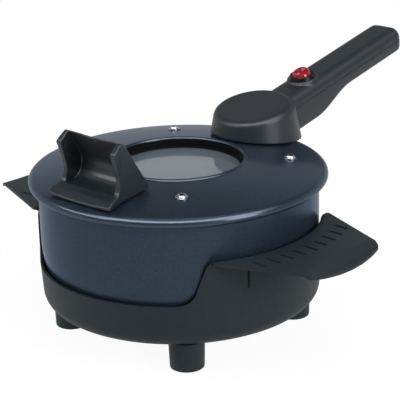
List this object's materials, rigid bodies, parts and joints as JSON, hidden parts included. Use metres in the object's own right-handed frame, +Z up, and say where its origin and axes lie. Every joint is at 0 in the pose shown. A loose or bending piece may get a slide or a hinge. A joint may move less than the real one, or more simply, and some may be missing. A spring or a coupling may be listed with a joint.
{
  "type": "portable electric oven",
  "caption": "Round countertop cooker: a painted pan in a slotted plastic stand on legs, under a lift-off heating lid with a round window, a switched long handle and a scoop grip.",
  "frame": {"origin": "centre of the object's outline in X and Y, at table height", "axes": "+X to the right-hand wing as seen from the front grip, +Y from the front grip to the handle's end, +Z up"},
  "size_m": [0.35, 0.402, 0.1929],
  "materials": {
    "stand_plastic": "fine-grained charcoal moulding",
    "pad_rubber": "soft black rubber",
    "screw_steel": "plated screw steel",
    "navy_paint": "navy metallic paint with a fine texture",
    "shield_aluminium": "bright pressed sheet",
    "window_glass": "clear tempered glass",
    "seal_rubber": "black silicone",
    "washer_steel": "polished washers",
    "heater_steel": "heat-tinted tube",
    "ceramic": "bare steatite",
    "cutout_plastic": "dark phenolic",
    "handle_plastic": "black satin moulding",
    "spacer_board": "heat-resistant board",
    "rocker_red": "red translucent plastic",
    "bezel_plastic": "black gloss moulding",
    "terminal_brass": "tinned brass",
    "pin_chrome": "plated pins",
    "wire_brown": "wire sheath",
    "wire_red": "wire sheath",
    "wire_blue": "wire sheath",
    "wire_green": "wire sheath"
  },
  "bodies": {
    "stand": {"basket": "stand_plastic", "leg_front_right": "stand_plastic", "leg_rear_right": "stand_plastic", "leg_rear_left": "stand_plastic", "leg_front_left": "stand_plastic", "foot_pads": "pad_rubber", "leg_screws": "screw_steel"},
    "pan": {"pan": "navy_paint"},
    "lid": {"lid_shell": "navy_paint", "inner_lid": "shield_aluminium", "window_glass": "window_glass", "window_seal_upper": "seal_rubber", "window_seal_lower": "seal_rubber", "lid_posts": "screw_steel", "lid_washers": "washer_steel", "lid_screws": "screw_steel", "heating_ring": "heater_steel", "ring_clips": "screw_steel", "ring_bushes": "ceramic", "terminal_block": "ceramic", "thermal_cutout": "cutout_plastic", "front_grip": "handle_plastic", "front_grip_screws": "screw_steel", "heat_spacer": "spacer_board", "boss_plate": "handle_plastic", "seat_screws": "screw_steel", "handle_top_shell": "handle_plastic", "handle_bottom_shell": "handle_plastic", "handle_screws": "screw_steel", "switch_housing": "bezel_plastic", "switch_terminals": "terminal_brass", "power_inlet": "bezel_plastic", "inlet_pins": "pin_chrome", "wire_live": "wire_brown", "wire_switched": "wire_red", "wire_neutral": "wire_blue", "wire_earth": "wire_green"},
    "rocker": {"rocker": "rocker_red"}
  },
  "joints": [
    {"name": "pan_lift", "type": "slide", "parent": "stand", "child": "pan", "axis": [0, 0, 1], "range_m": [0, 0.09]},
    {"name": "lid_lift", "type": "slide", "parent": "pan", "child": "lid", "axis": [0, 0, 1], "range_m": [0, 0.08]},
    {"name": "rocker_tilt", "type": "hinge", "parent": "lid", "child": "rocker", "pos_m": [0, 0.07626, 0.17257], "axis": [-1, 0, 0], "range_deg": [0, 20]}
  ]
}
